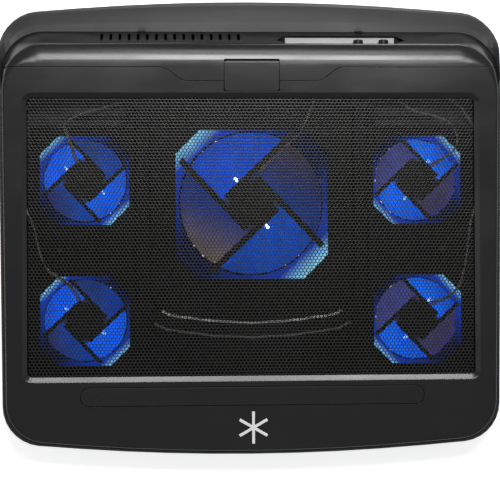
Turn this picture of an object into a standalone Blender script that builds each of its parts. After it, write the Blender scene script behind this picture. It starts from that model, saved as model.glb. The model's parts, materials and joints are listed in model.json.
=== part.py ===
"""Laptop cooling pad: a moulded tub and lid, a steel grille, five lit fans, controls and feet.

The pad stands on the XY plane. +X is the user's right, +Y the rear and +Z up. The origin is
under the middle of the pad, at the level that its rubber feet stand on.
"""

import math

import bmesh
import bpy
from mathutils import Matrix, Vector

MM = 0.001
GAP = 0.35 * MM
BEYOND = 2.0 * MM


def in_mm(*rows):
    """Table of lengths given in millimetres."""
    return tuple(tuple(v * MM for v in row) for row in rows)


# Overall outline of the lower tub
HALF_REAR = 197.5 * MM
HALF_FRONT = 193.9 * MM
REAR_Y = 177.9 * MM
FRONT_Y = -177.9 * MM
REAR_SAG = 11.0 * MM
FRONT_SAG = 11.0 * MM
CORNER_R = 31.0 * MM
LIP_W = 2.2 * MM

# Levels
FLOOR_Z = 3.0 * MM
FLOOR_TOP_Z = 5.2 * MM
LIP_SIDE_Z = 29.4 * MM
CREASE_Z = 13.5 * MM
WALL_TOP_Z = 28.0 * MM
TOP_Z = 32.0 * MM
LID_T = 2.2 * MM

# Tub section: side inset, rear inset, side height and rear height of its outer and inner rings
TUB_OUTER = in_mm((6.0, 6.0, 3.0, 3.0), (1.8, 2.6, 4.2, 3.6), (0.0, 0.4, 8.0, 5.4), (0.0, 0.0, 27.6, 7.2))
TUB_INNER = in_mm((2.6, 4.6, 8.6, 6.4), (7.4, 8.0, 5.2, 5.2))
# Skirt section: share of its width, side height and rear height, outwards and back
SKIRT_OUTER = ((0.12, 28.8 * MM, 9.2 * MM), (0.36, LIP_SIDE_Z, 11.2 * MM), (0.68, LIP_SIDE_Z, 12.7 * MM),
               (1.0, LIP_SIDE_Z, CREASE_Z))
SKIRT_INNER = ((1.0, 22.0 * MM, 9.0 * MM), (0.55, 21.0 * MM, 8.4 * MM))
PIP_X = 85.8 * MM
PIP_R = 3.3 * MM
PIP_FOOT_Z = 10.5 * MM
BOSSES = in_mm((-150.0, -19.0), (150.0, -19.0), (-88.0, -140.0), (88.0, -140.0), (-66.0, 99.0), (66.0, 99.0))
BOSS_R = 4.0 * MM
BOSS_BORE_R = 1.6 * MM
BOSS_BORE_Z = 10.0 * MM
SCREWED_BOSSES = BOSSES[:4]
SCREW_SECTION = in_mm((-12.0, 1.2), (0.0, 1.2), (0.0, 2.8), (0.9, 2.8), (1.6, 1.7))

# Rear slope of the lid
CREASE_Y = 153.5 * MM
WALL_RUN = 10.5 * MM
ROLL_RUN = 28.5 * MM
REARNESS_START_Y = 104.0 * MM
# Round-over at the top of the slope: it fills the run up to the flat top, and is tighter at the sides
ROLL_STEPS = 8
ROLL_POWER = 2.5
SIDE_ROLL_POWER = 3.6
SIDE_FOOT_Z = 30.7 * MM
SIDE_FOOT_INSET = 0.6 * MM
SIDE_TOP_INSET = 3.4 * MM
# Underside of the lid: side inset, rear inset, side height, rear height
LID_UNDER = in_mm((5.6, 29.5, 29.8, 29.8), (3.4, 19.0, 29.2, 28.5), (2.8, 13.2, 28.4, 26.9),
                  (2.6, 3.05, 24.0, 10.2))
LID_HEM_SIDE_Z = 24.0 * MM
LID_HEM_REAR_Z = 10.2 * MM
HIGH_Z = 40.0 * MM

# Seam between the top frame and the rear housing
SEAM_Y = 124.0 * MM
SEAM_BUMP_Y = 113.4 * MM
SEAM_OUTER_X = 70.8 * MM
SEAM_INNER_X = 51.2 * MM
SEAM_GAP = 0.5 * MM

# Grille and its recess
MESH_HALF_X = 175.0 * MM
MESH_REAR_Y = 99.8 * MM
MESH_FRONT_Y = -116.9 * MM
BEVEL_RUN = 3.8 * MM
BEVEL_FOOT_Z = 28.7 * MM
GRILLE_Z = 27.3 * MM
GRILLE_T = 0.6 * MM
GRILLE_MARGIN = 2.6 * MM
RIM_W = 7.0 * MM
RIM_FOOT_Z = 26.3 * MM

# Fans: name, centre x, centre y, size, strut hand, angle of the first strut, lamp struts
DECK_Z = 21.6 * MM
DECK_T = 2.0 * MM
SMALL_X = 130.6 * MM
ROW_REAR_Y = 35.9 * MM
ROW_FRONT_Y = -73.8 * MM
CENTRE_Y = 17.9 * MM
SMALL = {
    "half": 35.0 * MM, "bore": 33.2 * MM, "chamfer": 14.5 * MM, "hub": 14.5 * MM, "lip": 0.0,
    "strut_offset": 13.6 * MM, "strut_w": 3.0 * MM, "strut_out": 32.0 * MM, "strut_in": 9.0 * MM,
    "blades": 9, "tip": 32.0 * MM, "hand": -1, "angle": 43.5, "lamp_reach": 3.0 * MM,
}
LARGE = {
    "half": 60.0 * MM, "bore": 57.6 * MM, "chamfer": 19.0 * MM, "hub": 17.6 * MM, "lip": 2.2 * MM,
    "strut_offset": 17.1 * MM, "strut_w": 4.8 * MM, "strut_out": 63.0 * MM, "strut_in": 12.0 * MM,
    "blades": 7, "tip": 56.2 * MM, "hand": 1, "angle": 43.5, "lamp_reach": 3.6 * MM,
}
FANS = (
    ("rear_left", -SMALL_X, ROW_REAR_Y, SMALL, (1, 3)),
    ("rear_right", SMALL_X, ROW_REAR_Y, SMALL, (0, 2)),
    ("front_left", -SMALL_X, ROW_FRONT_Y, SMALL, (1, 3)),
    ("front_right", SMALL_X, ROW_FRONT_Y, SMALL, (0, 2)),
    ("centre", 0.0, CENTRE_Y, LARGE, (1, 3)),
)
FRAME_Z = 5.8 * MM
FRAME_TOP_Z = 18.5 * MM
SPIDER_Z = 18.8 * MM
SPIDER_TOP_Z = 21.3 * MM
CUP_Z = 6.6 * MM
CUP_TOP_Z = 18.2 * MM
CUP_WALL = 1.2 * MM
BLADE_LOW_Z = 8.2 * MM
BLADE_HIGH_Z = 16.4 * MM
BLADE_T = 1.0 * MM
SHAFT_R = 1.0 * MM
TUBE_R = 2.4 * MM
STATOR_Z = 9.0 * MM
STATOR_TOP_Z = 16.5 * MM
STATOR_CORE_SHARE = 0.8
POLE_HALF_SHARE = 0.17
POLE_INSET = 1.2 * MM
LAMP_R = 1.1 * MM

# Deck: the air guide that holds the fans
DECK_HALF_X = 173.0 * MM
DECK_FRONT_Y = -160.0 * MM
DECK_STEP_Y = 78.5 * MM
DECK_NECK_X = 97.0 * MM
DECK_REAR_Y = 108.0 * MM
RIDGE_INNER_X = 79.0 * MM
RIDGE_FRONT_Y = -70.0 * MM
RIDGE_W = 13.0 * MM
RIDGE_SAG = 5.0 * MM
RIDGE_CORNER = 22.0 * MM
RIDGE_REAR_Y = 93.0 * MM
RIDGE_H = 2.2 * MM
RIDGE_ROOT = 0.6 * MM
RIDGE_SLOPE = 1.6 * MM
LIP_INNER_X = 99.0 * MM
LIP_OUTER_X = 168.0 * MM
LIP_FRONT = 2.4 * MM
LIP_REAR = 0.4 * MM
LIP_H = 0.5 * MM

# Walls and holes of the tub
SIDES = (-1, 1)
WALL_DEPTH = 1.0 * MM
WELL_GROW = (3.6 * MM, 6.2 * MM, 6.0 * MM)
WELL_RISE = 5.2 * MM
LEG_HOLE_GROW = (0.5 * MM, 3.0 * MM, 3.2 * MM)
LEG_HOLE_RISE = 3.0 * MM
LEG_SOCKET_REACH = 2.2 * MM
LEG_SOCKET_R = 1.75 * MM
PIP_RISE = 1.0 * MM

# Controls in the rear slope
POCKET_LEFT_X = 20.0 * MM
POCKET_RIGHT_X = 121.0 * MM
POCKET_POINT = 6.5 * MM
POCKET_BACK_Y = 142.6 * MM
POCKET_REAR_Y = 149.4 * MM
POCKET_FLOOR_Z = 17.0 * MM
PANEL_LEFT_X = 27.0 * MM
PANEL_RIGHT_X = 113.6 * MM
BUTTON_Z = 22.4 * MM
BUTTON_R = 3.9 * MM
# Button section: place along its axis from the pocket's back wall, and radius
BUTTON_SECTION = in_mm((-8.0, 1.6), (-5.6, 1.6), (-5.6, 4.7), (-4.4, 4.7), (-4.4, 3.9), (2.6, 3.9),
                       (3.35, 3.45), (3.7, 2.5))
PANEL_DEPTH = 5.6 * MM
PANEL_TOP = 1.15 * MM
BUTTON_BORE_DEPTH = 8.0 * MM
BUTTONS = (("fan_button", 84.5 * MM), ("light_button", 104.5 * MM))
SLOT_COUNT = 16
SLOT_FIRST_X = -117.0 * MM
SLOT_PITCH = 7.14 * MM
SLOT_W = 2.3 * MM
SLOT_LOW_Y = 151.6 * MM
SLOT_HIGH_Y = 145.0 * MM

# Latch tab across the seam
TAB_HALF_X = 21.4 * MM
TAB_FRONT_Y = 105.1 * MM
TAB_REAR_Y = 129.7 * MM
TAB_GAP = 0.45 * MM
TAB_CORNER = 2.4 * MM
TAB_WELL_CORNER = 1.2 * MM
TAB_PIN_Y = 128.0 * MM
TAB_PIN_Z = 30.0 * MM
TAB_KNUCKLE_R = 1.65 * MM
TAB_PIN_R = 0.65 * MM
TAB_PIN_REACH = 2.6 * MM
TAB_BORE_R = 0.95 * MM
TAB_BORE_REACH = 3.2 * MM
TAB_CUT_Z = 20.0 * MM
LUG_X = 2.7 * MM
LUG_HALF_X = 1.9 * MM
LUG_R = 2.2 * MM
LUG_RISE = 0.6 * MM
TAB_RIB_HALF_X = 12.0 * MM
TAB_RIB_FRONT = 1.6 * MM
TAB_RIB_REAR = 3.2 * MM
TAB_RIB_H = 2.4 * MM

# Front grip strip and badge
GRIP_HALF_X = 133.6 * MM
GRIP_Y = -132.4 * MM
GRIP_HALF_W = 7.0 * MM
GRIP_TOP_Z = 33.0 * MM
BADGE_Y = -157.0 * MM
BADGE_R = 12.5 * MM
BADGE_T = 0.7 * MM
BADGE_ARM = 2.2 * MM

# Under the pad
FOOT_X = 150.0 * MM
FOOT_Y = 140.0 * MM
FOOT_SECTION = in_mm((0.0, 8.2), (0.9, 9.0), (2.7, 9.0))
LEG_X = 115.0 * MM
LEG_HALF_X = 30.0 * MM
LEG_FRONT_Y = 93.0 * MM
LEG_PIN_Y = 126.0 * MM
LEG_PIN_Z = 5.9 * MM
LEG_T = 4.6 * MM
INTAKE_PITCH = 8.0 * MM
INTAKE_W = 3.6 * MM

# USB sockets in the right wall
SOCKET_Z = 9.4 * MM
SOCKETS = (
    ("usb_a_socket", 113.0 * MM, 6.6 * MM, 5.7 * MM, 1.0 * MM),
    ("usb_mini_socket", 129.5 * MM, 3.9 * MM, 4.0 * MM, 0.8 * MM),
)
SOCKET_WINDOW_DEPTH = 12.0 * MM
SOCKET_CLEARANCE = 0.5 * MM
SOCKET_FRONT_X = 195.6 * MM
SOCKET_BACK_X = 181.0 * MM
SOCKET_WALL = 0.5 * MM
TONGUE_MARGIN = 1.4 * MM
USB_BOARD = ((150.0 * MM, 104.0 * MM, 7.5 * MM), (188.0 * MM, 136.0 * MM, 9.05 * MM))
SWITCH_BOARD = ((18.0 * MM, 131.6 * MM, 15.2 * MM), (119.0 * MM, 132.8 * MM, 27.4 * MM))

LEAD_R = 1.0 * MM
LEAD_STEP = 5.6 * MM

# Finishes: colour, roughness, then metallic and glow where they are not zero
FINISHES = {
    "tub_black": ((0.045, 0.045, 0.046), 0.55), "lid_black": ((0.035, 0.035, 0.036), 0.48),
    "deck_grey": ((0.06, 0.06, 0.06), 0.6), "mesh_black": ((0.05, 0.05, 0.05), 0.4, 0.6),
    "rubber": ((0.03, 0.03, 0.03), 0.85), "badge_white": ((0.75, 0.75, 0.75), 0.35),
    "silver": ((0.62, 0.62, 0.62), 0.35, 0.4), "gloss_black": ((0.02, 0.02, 0.02), 0.3),
    "board_green": ((0.02, 0.12, 0.05), 0.5), "steel": ((0.6, 0.6, 0.6), 0.3, 1.0),
    "frame_blue": ((0.1, 0.3, 0.95), 0.2), "blade_blue": ((0.05, 0.15, 0.8), 0.25),
    "copper": ((0.5, 0.22, 0.1), 0.4, 0.8), "lamp_glow": ((0.5, 0.8, 1.0), 0.2, 0.0, 4.0),
    "lead_black": ((0.12, 0.12, 0.12), 0.5),
}


# ---------------------------------------------------------------- helpers

def clear_scene():
    for old in list(bpy.data.objects):
        bpy.data.objects.remove(old, do_unlink=True)


def finish_material(name, colour, roughness, metallic=0.0, glow=0.0):
    made = bpy.data.materials.new(name)
    made.use_nodes = True
    shader = made.node_tree.nodes["Principled BSDF"]
    shader.inputs["Base Color"].default_value = (*colour, 1.0)
    shader.inputs["Roughness"].default_value = roughness
    shader.inputs["Metallic"].default_value = metallic
    if glow:
        shader.inputs["Emission Color"].default_value = (*colour, 1.0)
        shader.inputs["Emission Strength"].default_value = glow
    return made


def place(name, bm, surface, origin=(0.0, 0.0, 0.0), smooth=35.0):
    """Turn a bmesh in world coordinates into an object whose origin is at the given point."""
    bmesh.ops.recalc_face_normals(bm, faces=bm.faces)
    shift = Vector(origin)
    bmesh.ops.translate(bm, verts=bm.verts, vec=-shift)
    mesh = bpy.data.meshes.new(name)
    bm.to_mesh(mesh)
    bm.free()
    mesh.shade_smooth()
    mesh.set_sharp_from_angle(angle=math.radians(smooth))
    body = bpy.data.objects.new(name, mesh)
    body.location = shift
    bpy.context.scene.collection.objects.link(body)
    if surface is not None:
        body.data.materials.append(surface)
    return body


def guide(name, bm):
    """A shape that only cuts or joins another one."""
    body = place(name, bm, None)
    body.hide_render = True
    body.display_type = "WIRE"
    return body


def combine(target, tool, operation):
    step = target.modifiers.new(operation.title() + " " + tool.name, "BOOLEAN")
    step.operation = operation
    step.solver = "EXACT"
    step.object = tool
    return step


def loft(rings):
    """One closed body through rings of equal count: bottom cap, sides, top cap."""
    bm = bmesh.new()
    rows = [[bm.verts.new(point) for point in ring] for ring in rings]
    count = len(rows[0])
    for low, high in zip(rows, rows[1:]):
        for i in range(count):
            j = (i + 1) % count
            bm.faces.new((low[i], low[j], high[j], high[i]))
    bm.faces.new(list(reversed(rows[0])))
    bm.faces.new(rows[-1])
    return bm


def prism(outline, low, high):
    return loft([[Vector((x, y, z)) for x, y in outline] for z in (low, high)])


def merge(shapes):
    """Several separate shapes in one bmesh, for cutters."""
    whole = bmesh.new()
    for shape in shapes:
        mesh = bpy.data.meshes.new("piece")
        shape.to_mesh(mesh)
        shape.free()
        whole.from_mesh(mesh)
        bpy.data.meshes.remove(mesh)
    return whole


def box(low, high):
    (x0, y0, z0), (x1, y1, z1) = low, high
    return prism([(x0, y0), (x1, y0), (x1, y1), (x0, y1)], z0, z1)


def disc(x, y, radius, low, high, sides=24):
    turns = [2.0 * math.pi * i / sides for i in range(sides)]
    return prism([(x + radius * math.cos(a), y + radius * math.sin(a)) for a in turns], low, high)


def rod(start, end, radius, sides=16):
    """A cylinder between two points."""
    start, end = Vector(start), Vector(end)
    run = end - start
    bm = disc(0.0, 0.0, radius, 0.0, run.length, sides)
    turn = Vector((0.0, 0.0, 1.0)).rotation_difference(run.normalized()).to_matrix().to_4x4()
    bmesh.ops.transform(bm, matrix=Matrix.Translation(start) @ turn, verts=bm.verts)
    return bm


def rounded_rectangle(x, y, half_x, half_y, radius, steps=4):
    points = []
    for quarter, (sx, sy) in enumerate(((1, 1), (-1, 1), (-1, -1), (1, -1))):
        for i in range(steps + 1):
            a = math.radians(90.0 * quarter + 90.0 * i / steps)
            points.append((
                x + sx * (half_x - radius) + radius * math.cos(a),
                y + sy * (half_y - radius) + radius * math.sin(a),
            ))
    return points


def blend(a, b, t):
    return a + (b - a) * t


def ease(t):
    t = min(max(t, 0.0), 1.0)
    return t * t * (3.0 - 2.0 * t)


# ---------------------------------------------------------------- pad outline

def fillet(corner, toward_a, toward_b, radius, steps):
    """Points of the arc that rounds a corner, from its a side to its b side."""
    half = toward_a.angle(toward_b) / 2.0
    centre = corner + (toward_a + toward_b).normalized() * (radius / math.sin(half))
    start = corner + toward_a * (radius / math.tan(half)) - centre
    end = corner + toward_b * (radius / math.tan(half)) - centre
    sweep = start.angle_signed(end)
    points = []
    for i in range(steps + 1):
        a = -sweep * i / steps
        points.append(centre + Vector((
            start.x * math.cos(a) - start.y * math.sin(a),
            start.x * math.sin(a) + start.y * math.cos(a),
        )))
    return points


def pad_outline(half_rear, half_front, rear_y, rear_sag, front_y, front_sag, side_ys):
    """Anticlockwise outline with bowed ends, straight tapering sides and round corners."""
    arc_steps, corner_steps = 5, 7
    front_corner = Vector((half_front, front_y + front_sag))
    rear_corner = Vector((half_rear, rear_y - rear_sag))
    side = (rear_corner - front_corner).normalized()
    front_edge = Vector((-1.0, -2.0 * front_sag / half_front)).normalized()
    rear_edge = Vector((-1.0, 2.0 * rear_sag / half_rear)).normalized()
    front_round = fillet(front_corner, front_edge, side, CORNER_R, corner_steps)
    rear_round = fillet(rear_corner, -side, rear_edge, CORNER_R, corner_steps)
    right = []
    for i in range(arc_steps):
        x = front_round[0].x * i / arc_steps
        dip = front_y + front_sag * (x / half_front) ** 2
        right.append(Vector((x, dip)))
    right += front_round
    for y in side_ys:
        t = (y - front_corner.y) / (rear_corner.y - front_corner.y)
        right.append(Vector((blend(half_front, half_rear, t), y)))
    right += rear_round
    for i in range(arc_steps - 1, -1, -1):
        x = rear_round[-1].x * i / arc_steps
        right.append(Vector((x, rear_y - rear_sag * (x / half_rear) ** 2)))
    left = [Vector((-p.x, p.y)) for p in reversed(right[1:-1])]
    return right + left


def inset(outline, distances):
    """Move each point of an anticlockwise outline inwards by its own distance."""
    count = len(outline)
    moved = []
    for i, point in enumerate(outline):
        along = (outline[(i + 1) % count] - outline[i - 1]).normalized()
        moved.append(point + Vector((-along.y, along.x)) * distances[i])
    return moved


SIDE_YS_TUB = tuple(y * MM for y in (-60.0, 30.0, 92.0, 108.0, 118.0, 127.0))
SIDE_YS_SEAM = tuple(y * MM for y in (-60.0, 30.0, 88.0, 102.0, 110.0, 117.0))
TUB = pad_outline(HALF_REAR, HALF_FRONT, REAR_Y, REAR_SAG, FRONT_Y, FRONT_SAG, SIDE_YS_TUB)
SEAM = pad_outline(HALF_REAR - LIP_W, HALF_FRONT - LIP_W, CREASE_Y, 0.2 * MM,
                   FRONT_Y + LIP_W, FRONT_SAG, SIDE_YS_SEAM)
REARNESS = [ease((p.y - REARNESS_START_Y) / (CREASE_Y - REARNESS_START_Y)) for p in SEAM]


def ring(outline, side_inset, rear_inset, side_z, rear_z):
    """A ring whose inset and height change from the sides to the rear."""
    flat = inset(outline, [blend(side_inset, rear_inset, r) for r in REARNESS])
    return [Vector((p.x, p.y, blend(side_z, rear_z, r))) for p, r in zip(flat, REARNESS)]


def skirt_ring(t, side_z, rear_z, drop=0.0):
    """A ring part of the way from the tub's edge to the seam line."""
    points = []
    for outer, inner, r in zip(TUB, SEAM, REARNESS):
        p = outer.lerp(inner, t)
        points.append(Vector((p.x, p.y, blend(side_z, rear_z, r) - drop)))
    return points


# ---------------------------------------------------------------- tub

def intake_slots(x, y, radius):
    """Parallel slots that fill a circle in the floor."""
    slots = []
    rows = int(radius / INTAKE_PITCH)
    for row in range(-rows, rows + 1):
        offset = row * INTAKE_PITCH
        half = math.sqrt(radius ** 2 - offset ** 2)
        if half > 2.0 * INTAKE_W:
            slots.append(box(
                (x - half, y + offset - INTAKE_W / 2.0, FLOOR_Z - 2.0 * MM),
                (x + half, y + offset + INTAKE_W / 2.0, FLOOR_TOP_Z + 2.0 * MM),
            ))
    return slots


def leg_box(side, grow_x, front, rear, low, high):
    """Box about a stowed leg."""
    half = LEG_HALF_X + grow_x
    return box((side * LEG_X - half, LEG_FRONT_Y - front, low), (side * LEG_X + half, LEG_PIN_Y + rear, high))


def make_tub(surface):
    rings = [ring(TUB, *row) for row in TUB_OUTER]
    rings += [skirt_ring(*row) for row in SKIRT_OUTER + SKIRT_INNER]
    rings += [ring(TUB, *row) for row in TUB_INNER]
    tub = place("lower_shell", loft(rings), surface)
    inside = FLOOR_Z + WALL_DEPTH
    bosses = [disc(x, y, BOSS_R, inside, DECK_Z - GAP, 12) for x, y in BOSSES]
    wells = [leg_box(side, *WELL_GROW, inside, LEG_PIN_Z + WELL_RISE) for side in SIDES]
    pips = [half_pip(side * PIP_X) for side in SIDES]
    combine(tub, guide("tub_additions", merge(bosses + wells + pips)), "UNION")
    slots = []
    for _, x, y, kind, _ in FANS:
        slots += intake_slots(x, y, kind["bore"] - BEYOND)
    leg_holes = [leg_box(side, *LEG_HOLE_GROW, -BEYOND, LEG_PIN_Z + LEG_HOLE_RISE) for side in SIDES]
    combine(tub, guide("tub_openings", merge(slots + leg_holes + socket_cuts())), "DIFFERENCE")
    sockets = []
    for side in SIDES:
        reach = LEG_HALF_X + LEG_SOCKET_REACH
        sockets.append(rod((side * LEG_X - reach, LEG_PIN_Y, LEG_PIN_Z),
                           (side * LEG_X + reach, LEG_PIN_Y, LEG_PIN_Z), LEG_SOCKET_R, 12))
    sockets += [disc(x, y, BOSS_BORE_R, BOSS_BORE_Z, DECK_Z + BEYOND, 12) for x, y in SCREWED_BOSSES]
    combine(tub, guide("tub_sockets", merge(sockets)), "DIFFERENCE")
    return tub


def half_pip(x):
    """A low half-round pip on the skirt, against the foot of the rear slope."""
    turns = [math.pi * i / 8 for i in range(9)]
    front = CREASE_Y + SEAM_GAP
    outline = [(x + PIP_R * math.cos(a), front + PIP_R * math.sin(a)) for a in turns]
    return prism(outline, PIP_FOOT_Z, CREASE_Z + PIP_RISE)


def socket_cuts():
    """Windows for the two sockets in the right wall."""
    cuts = []
    for _, y, half_w, height, _ in SOCKETS:
        half = half_w + SOCKET_CLEARANCE
        cuts.append(box((HALF_REAR - SOCKET_WINDOW_DEPTH, y - half, SOCKET_Z - GAP),
                        (HALF_REAR + BEYOND, y + half, SOCKET_Z + height + SOCKET_CLEARANCE)))
    return cuts


# ---------------------------------------------------------------- lid halves

def lid():
    """The whole thin lid, from which the top frame and the rear housing are cut."""
    rings = [ring(SEAM, *row) for row in LID_UNDER]
    rings.append(ring(SEAM, GAP, GAP, LID_HEM_SIDE_Z, LID_HEM_REAR_Z))
    rings.append(ring(SEAM, GAP, GAP, LIP_SIDE_Z, CREASE_Z + 0.1 * MM))
    for i in range(ROLL_STEPS + 1):
        t = i / ROLL_STEPS
        rings.append(ring(
            SEAM, blend(SIDE_FOOT_INSET, SIDE_TOP_INSET, t), blend(WALL_RUN, ROLL_RUN, t),
            TOP_Z - (TOP_Z - SIDE_FOOT_Z) * (1.0 - t) ** SIDE_ROLL_POWER,
            TOP_Z - (TOP_Z - WALL_TOP_Z) * (1.0 - t) ** ROLL_POWER))
    return loft(rings)


def seam_y(x):
    t = (abs(x) - SEAM_INNER_X) / (SEAM_OUTER_X - SEAM_INNER_X)
    return blend(SEAM_BUMP_Y, SEAM_Y, ease(t))


def behind_seam(shift):
    """The block of space behind the seam line, shifted forwards or back."""
    reach, steps = 230.0 * MM, 6
    xs = [-reach]
    span = SEAM_OUTER_X - SEAM_INNER_X
    xs += [-SEAM_OUTER_X + span * i / steps for i in range(steps + 1)]
    xs += [SEAM_INNER_X + span * i / steps for i in range(steps + 1)]
    xs.append(reach)
    line = [(x, seam_y(x) + shift) for x in xs]
    return prism(line + [(reach, 230.0 * MM), (-reach, 230.0 * MM)], -10.0 * MM, 60.0 * MM)


def tab_outline(grow, corner):
    middle = (TAB_FRONT_Y + TAB_REAR_Y) / 2.0
    half = (TAB_REAR_Y - TAB_FRONT_Y) / 2.0
    return rounded_rectangle(0.0, middle, TAB_HALF_X + grow, half + grow, corner, 3)


def make_top_frame(surface):
    frame = place("top_frame", lid(), surface)
    combine(frame, guide("frame_cut", behind_seam(-SEAM_GAP)), "DIFFERENCE")
    middle = (MESH_REAR_Y + MESH_FRONT_Y) / 2.0
    half_y = (MESH_REAR_Y - MESH_FRONT_Y) / 2.0
    seat = prism(rounded_rectangle(0.0, middle, MESH_HALF_X + RIM_W, half_y + RIM_W, 6.0 * MM),
                 RIM_FOOT_Z, TOP_Z - LID_T + 0.7 * MM)
    combine(frame, guide("frame_rim", seat), "UNION")
    rise = (TOP_Z - BEVEL_FOOT_Z) * 1.4
    run = BEVEL_RUN * 1.4
    opening = loft([
        [Vector((x, y, z)) for x, y in rounded_rectangle(0.0, middle, MESH_HALF_X + grow, half_y + grow,
                                                         4.0 * MM + grow)]
        for z, grow in ((RIM_FOOT_Z - 4.0 * MM, 0.0), (BEVEL_FOOT_Z, 0.0), (BEVEL_FOOT_Z + rise, run))
    ])
    combine(frame, guide("frame_opening", opening), "DIFFERENCE")
    rabbet = prism(rounded_rectangle(0.0, middle, MESH_HALF_X + GRILLE_MARGIN + GAP,
                                     half_y + GRILLE_MARGIN + GAP, 5.0 * MM),
                   RIM_FOOT_Z - 3.0 * MM, GRILLE_Z + GRILLE_T + GAP)
    recesses = [rabbet, prism(grip_outline(GAP), TOP_Z - 0.9 * MM, TOP_Z + 3.0 * MM)]
    combine(frame, guide("frame_recesses", merge(recesses)), "DIFFERENCE")
    combine(frame, guide("frame_tab_cut", prism(tab_outline(TAB_GAP, TAB_WELL_CORNER), TAB_CUT_Z, HIGH_Z)), "DIFFERENCE")
    return frame


def slope_z(y):
    """Height of the rear slope's outer face."""
    return CREASE_Z + (CREASE_Y - y) / WALL_RUN * (WALL_TOP_Z - CREASE_Z)


def control_block():
    """Thick material behind the slope, in which the control pocket is cut."""
    profile = (
        (POCKET_BACK_Y - 3.4 * MM, POCKET_FLOOR_Z - 1.8 * MM),
        (151.2 * MM, POCKET_FLOOR_Z - 1.8 * MM),
        (POCKET_BACK_Y + 0.9 * MM, slope_z(POCKET_BACK_Y + 0.9 * MM) - 1.0 * MM),
        (POCKET_BACK_Y - 3.4 * MM, 28.6 * MM),
    )
    ends = (POCKET_LEFT_X - 4.0 * MM, POCKET_RIGHT_X + 4.0 * MM)
    return loft([[Vector((x, y, z)) for y, z in profile] for x in ends])


def control_pocket():
    """Boat-shaped well with pointed ends, open upwards and to the rear."""
    tip_y = blend(POCKET_BACK_Y, POCKET_REAR_Y, 0.45)
    outline = [
        (POCKET_LEFT_X, tip_y),
        (POCKET_LEFT_X + POCKET_POINT, POCKET_BACK_Y),
        (POCKET_RIGHT_X - POCKET_POINT, POCKET_BACK_Y),
        (POCKET_RIGHT_X, tip_y),
        (POCKET_RIGHT_X - POCKET_POINT, POCKET_REAR_Y),
        (POCKET_LEFT_X + POCKET_POINT, POCKET_REAR_Y),
    ]
    return prism(outline, POCKET_FLOOR_Z, 40.0 * MM)


def vent_slots():
    """Capsule-shaped slots standing in the rear slope."""
    slots = []
    radius = SLOT_W / 2.0
    turns = [math.pi * i / 3 for i in range(4)]
    for i in range(SLOT_COUNT):
        x = SLOT_FIRST_X + SLOT_PITCH * i
        outline = [(x + radius * math.cos(a), SLOT_LOW_Y - radius + radius * math.sin(a)) for a in turns]
        outline += [(x - radius * math.cos(a), SLOT_HIGH_Y + radius - radius * math.sin(a)) for a in turns]
        slots.append(prism(outline, CREASE_Z - 2.6 * MM, 40.0 * MM))
    return slots


def make_rear_housing(surface):
    housing = place("rear_housing", lid(), surface)
    combine(housing, guide("housing_keep", behind_seam(0.0)), "INTERSECT")
    lugs = [
        box((side * (TAB_HALF_X + LUG_X) - LUG_HALF_X, TAB_PIN_Y - LUG_R, TAB_PIN_Z - LUG_R),
            (side * (TAB_HALF_X + LUG_X) + LUG_HALF_X, TAB_PIN_Y + LUG_R, TAB_PIN_Z + LUG_RISE))
        for side in SIDES
    ]
    combine(housing, guide("housing_additions", merge(lugs + [control_block()])), "UNION")
    cuts = vent_slots() + [control_pocket(), prism(tab_outline(TAB_GAP, TAB_WELL_CORNER), TAB_CUT_Z, HIGH_Z)]
    combine(housing, guide("housing_openings", merge(cuts)), "DIFFERENCE")
    bores = [
        rod((x, POCKET_BACK_Y - BUTTON_BORE_DEPTH, BUTTON_Z), (x, POCKET_BACK_Y + BEYOND, BUTTON_Z),
            BUTTON_R + GAP, 20)
        for _, x in BUTTONS
    ]
    bores += [
        rod((side * (TAB_HALF_X - BEYOND), TAB_PIN_Y, TAB_PIN_Z),
            (side * (TAB_HALF_X + TAB_BORE_REACH), TAB_PIN_Y, TAB_PIN_Z), TAB_BORE_R, 12)
        for side in SIDES
    ]
    combine(housing, guide("housing_bores", merge(bores)), "DIFFERENCE")
    return housing


def make_latch_tab(surface):
    """Cut from the lid itself as far as its pins, where a round knuckle ends it."""
    tab = place("latch_tab", lid(), surface, origin=(0.0, TAB_PIN_Y, TAB_PIN_Z))
    combine(tab, guide("tab_keep", prism(tab_outline(0.0, TAB_CORNER), TAB_CUT_Z, HIGH_Z)), "INTERSECT")
    behind = box((-2.0 * TAB_HALF_X, TAB_PIN_Y, TAB_CUT_Z), (2.0 * TAB_HALF_X, TAB_REAR_Y + BEYOND, HIGH_Z))
    combine(tab, guide("tab_end", behind), "DIFFERENCE")
    reach = TAB_HALF_X - TAB_CORNER / 2.0
    knuckle = rod((-reach, TAB_PIN_Y, TAB_PIN_Z), (reach, TAB_PIN_Y, TAB_PIN_Z), TAB_KNUCKLE_R, 16)
    combine(tab, guide("tab_knuckle", knuckle), "UNION")
    reach = TAB_HALF_X + TAB_PIN_REACH
    pins = rod((-reach, TAB_PIN_Y, TAB_PIN_Z), (reach, TAB_PIN_Y, TAB_PIN_Z), TAB_PIN_R, 12)
    combine(tab, guide("tab_pins", pins), "UNION")
    rib = box((-TAB_RIB_HALF_X, TAB_FRONT_Y + TAB_RIB_FRONT, TOP_Z - LID_T - TAB_RIB_H),
              (TAB_RIB_HALF_X, TAB_FRONT_Y + TAB_RIB_REAR, TOP_Z - LID_T / 2.0))
    combine(tab, guide("tab_rib", rib), "UNION")
    return tab


# ---------------------------------------------------------------- grille, strip, badge

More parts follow.
